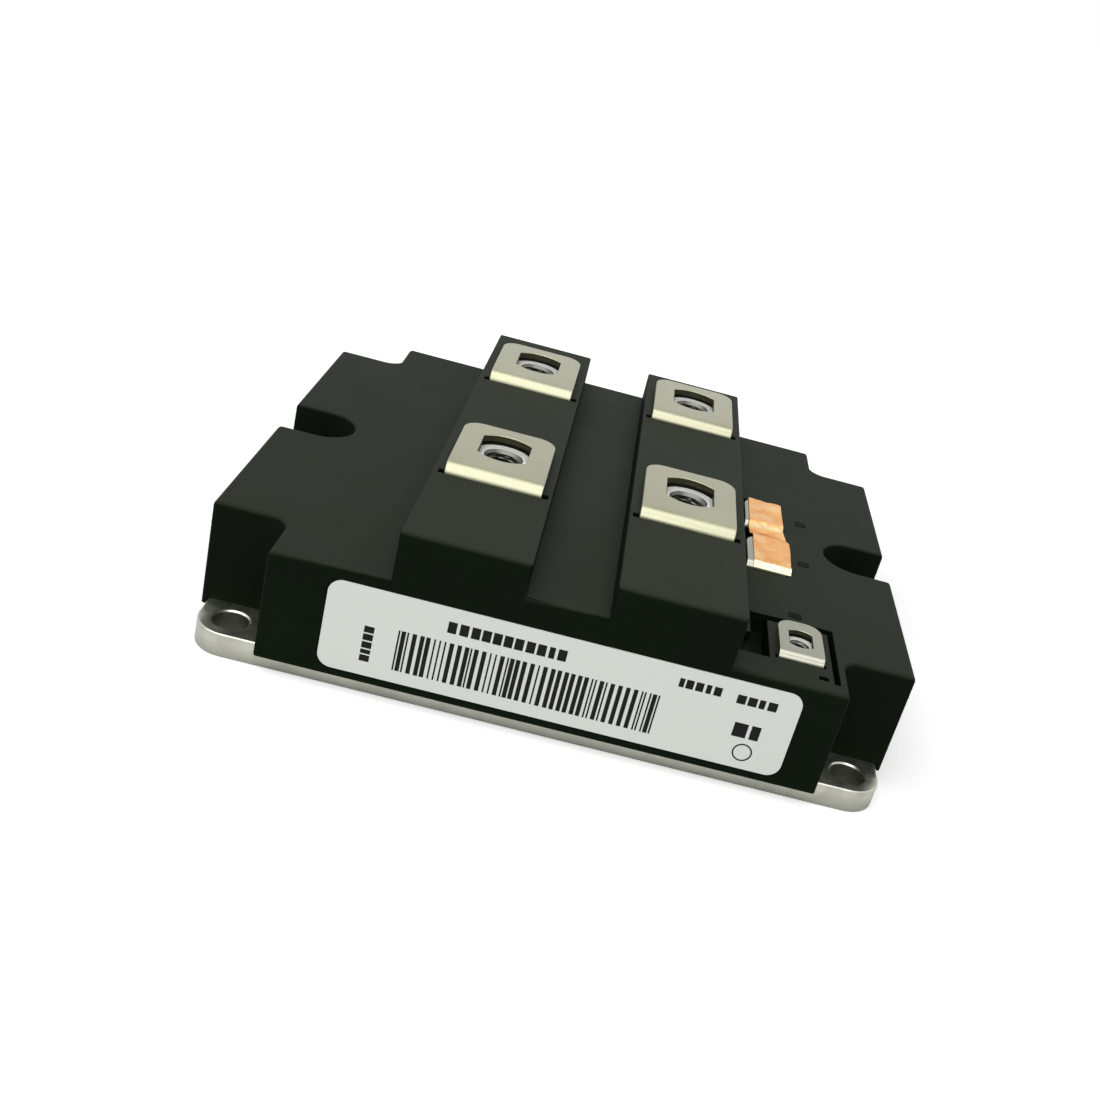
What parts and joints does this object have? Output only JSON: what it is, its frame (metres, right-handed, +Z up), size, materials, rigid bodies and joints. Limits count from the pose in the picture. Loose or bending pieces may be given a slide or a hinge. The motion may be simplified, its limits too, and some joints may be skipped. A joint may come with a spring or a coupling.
{
  "type": "power transistor module",
  "caption": "High-power semiconductor module: metal base plate with screw lugs, dark plastic housing with raised ridges, bolted power tabs and small control tabs.",
  "frame": {"origin": "centre of the base plate's underside", "axes": "+Z up, away from the heat sink; +X along the long side; the label is on the -Y side"},
  "size_m": [0.14, 0.13, 0.0386],
  "materials": {
    "nickel_plate": "nickel-plated copper, satin",
    "silicone": "matt bead",
    "frame_plastic": "moulded, satin",
    "cover_plastic": "moulded, satin",
    "label_film": "printed film, satin",
    "terminal_nickel": "nickel-plated copper, satin",
    "nut_zinc": "bright zinc",
    "strip_copper": "bare copper foil, creased",
    "track_copper": "bare copper",
    "alumina": "unglazed",
    "silicon": "polished, metallised",
    "wire_aluminium": "drawn wire",
    "board_green": "solder mask",
    "resistor_black": "matt",
    "gel": "clear soft gel"
  },
  "bodies": {
    "root": {"base_plate": "nickel_plate", "plate_seal": "silicone", "housing_frame": "frame_plastic", "cover": "cover_plastic", "label": "label_film", "collector_terminal_front": "terminal_nickel", "collector_terminal_rear": "terminal_nickel", "emitter_terminal_front": "terminal_nickel", "emitter_terminal_rear": "terminal_nickel", "m8_nuts": "nut_zinc", "gate_terminal": "terminal_nickel", "emitter_sense_terminal": "terminal_nickel", "collector_sense_terminal": "terminal_nickel", "m4_nuts": "nut_zinc", "shorting_strip": "strip_copper", "bottom_copper": "track_copper", "ceramic_substrates": "alumina", "top_copper": "track_copper", "igbt_chips": "silicon", "diode_chips": "silicon", "bond_wires": "wire_aluminium", "gate_board": "board_green", "gate_resistors": "resistor_black", "gate_pins": "terminal_nickel", "silicone_gel": "gel"}
  },
  "joints": []
}
